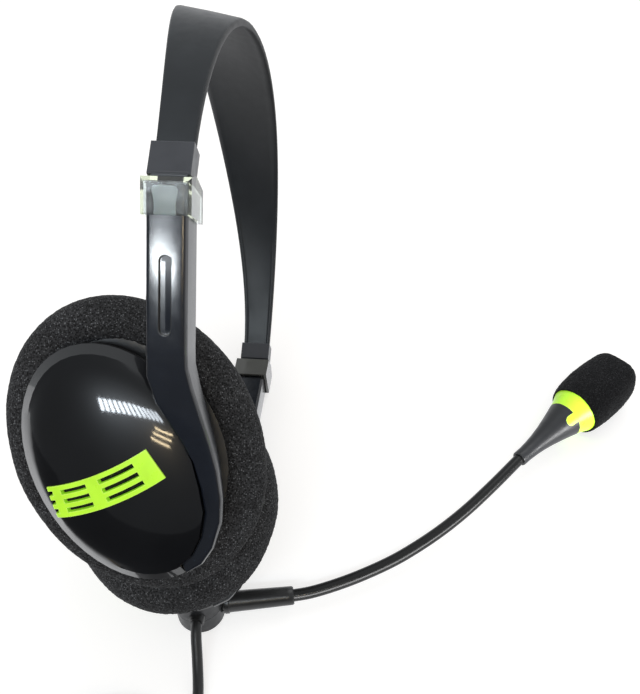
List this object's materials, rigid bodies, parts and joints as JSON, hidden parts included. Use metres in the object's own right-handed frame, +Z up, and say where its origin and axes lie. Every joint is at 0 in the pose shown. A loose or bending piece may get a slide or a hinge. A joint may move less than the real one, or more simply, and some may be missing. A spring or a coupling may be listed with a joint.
{
  "type": "wired headset with boom microphone",
  "caption": "Over-ear wired stereo headset with foam ear pads, a swinging boom microphone in a foam windscreen, sliding arms and a coiled cable with a round plug.",
  "frame": {"origin": "centre of the flat cap of the microphone hub on the left ear cup, which rests on the table", "axes": "+X is the wearer's front, +Y runs from the hub up the left arm to the headband's crown, +Z is up from the table; the headset lies on its left side"},
  "size_m": [0.1969, 0.2318, 0.1439],
  "materials": {
    "strap_black": "soft matt",
    "block_grey": "satin",
    "clear_collar": "clear plastic",
    "arm_black": "gloss",
    "shell_black": "gloss",
    "lime": "gloss",
    "grille_cloth": "matt",
    "steel": "satin",
    "nylon": "satin",
    "housing_black": "satin",
    "magnet_grey": "satin",
    "film": "satin",
    "foam_black": "open-cell foam",
    "hub_grey": "satin",
    "sleeve_black": "satin",
    "cable_black": "satin",
    "plated": "plated"
  },
  "bodies": {
    "left_side": {"left_arm": "arm_black", "left_outer_shell": "shell_black", "left_vent_grille": "lime", "left_vent_cloth": "grille_cloth", "left_ball_stud": "steel", "left_stud_screws": "steel", "mic_hub": "hub_grey", "mic_hub_cap": "hub_grey", "mic_hub_screw": "steel", "cable_gland": "cable_black", "cable": "cable_black", "cable_coil": "cable_black", "cable_tie": "cable_black", "plug_relief": "cable_black", "plug_body": "cable_black", "plug_pin": "plated"},
    "headband": {"headband_strap": "strap_black", "right_band_end": "block_grey", "left_band_end": "block_grey", "right_collar": "clear_collar", "left_collar": "clear_collar"},
    "right_side": {"right_arm": "arm_black", "right_outer_shell": "shell_black", "right_vent_grille": "lime", "right_vent_cloth": "grille_cloth", "right_ball_stud": "steel", "right_stud_screws": "steel"},
    "right_pivot": {"right_ball_bush": "nylon"},
    "right_cup": {"right_capsule_back": "housing_black", "right_driver_plate": "housing_black", "right_driver_frame": "steel", "right_magnet": "magnet_grey", "right_diaphragm": "film", "right_capsule_screws": "steel", "right_foam_pad": "foam_black"},
    "left_pivot": {"left_ball_bush": "nylon"},
    "left_cup": {"left_capsule_back": "housing_black", "left_driver_plate": "housing_black", "left_driver_frame": "steel", "left_magnet": "magnet_grey", "left_diaphragm": "film", "left_capsule_screws": "steel", "left_foam_pad": "foam_black"},
    "boom": {"boom_ring": "hub_grey", "boom_sleeve": "sleeve_black", "gooseneck_lower": "sleeve_black"},
    "microphone": {"gooseneck_upper": "sleeve_black", "mic_neck": "housing_black", "mic_ring": "lime", "mic_capsule": "steel", "mic_windscreen": "foam_black"}
  },
  "joints": [
    {"name": "left_slide", "type": "slide", "parent": "left_side", "child": "headband", "axis": [0, 0.998, -0.0628], "range_m": [-0.0064, 0.002]},
    {"name": "right_slide", "type": "slide", "parent": "headband", "child": "right_side", "axis": [0, -0.599, -0.8007], "range_m": [0, 0.0045]},
    {"name": "right_tilt", "type": "hinge", "parent": "right_side", "child": "right_pivot", "pos_m": [-0.00707, 0.00308, 0.07573], "axis": [1, 0, 0], "range_deg": [-3, 0]},
    {"name": "right_swivel", "type": "hinge", "parent": "right_pivot", "child": "right_cup", "pos_m": [-0.00707, 0.00308, 0.07573], "axis": [0, 0.6807, 0.7325], "range_deg": [-16, 0]},
    {"name": "left_tilt", "type": "hinge", "parent": "left_side", "child": "left_pivot", "pos_m": [-0.00707, 0.02209, 0.02096], "axis": [1, 0, 0], "range_deg": [0, 3]},
    {"name": "left_swivel", "type": "hinge", "parent": "left_pivot", "child": "left_cup", "pos_m": [-0.00707, 0.02209, 0.02096], "axis": [0, 0.999, 0.0436], "range_deg": [0, 16]},
    {"name": "boom_swing", "type": "hinge", "parent": "left_side", "child": "boom", "pos_m": [0, 0, 0], "axis": [0, 0, 1], "range_deg": [-50, 35]},
    {"name": "gooseneck_bend", "type": "hinge", "parent": "boom", "child": "microphone", "pos_m": [0.0541, 0.0171, 0.0062], "axis": [0, 0, 1], "range_deg": [-25, 15]}
  ]
}
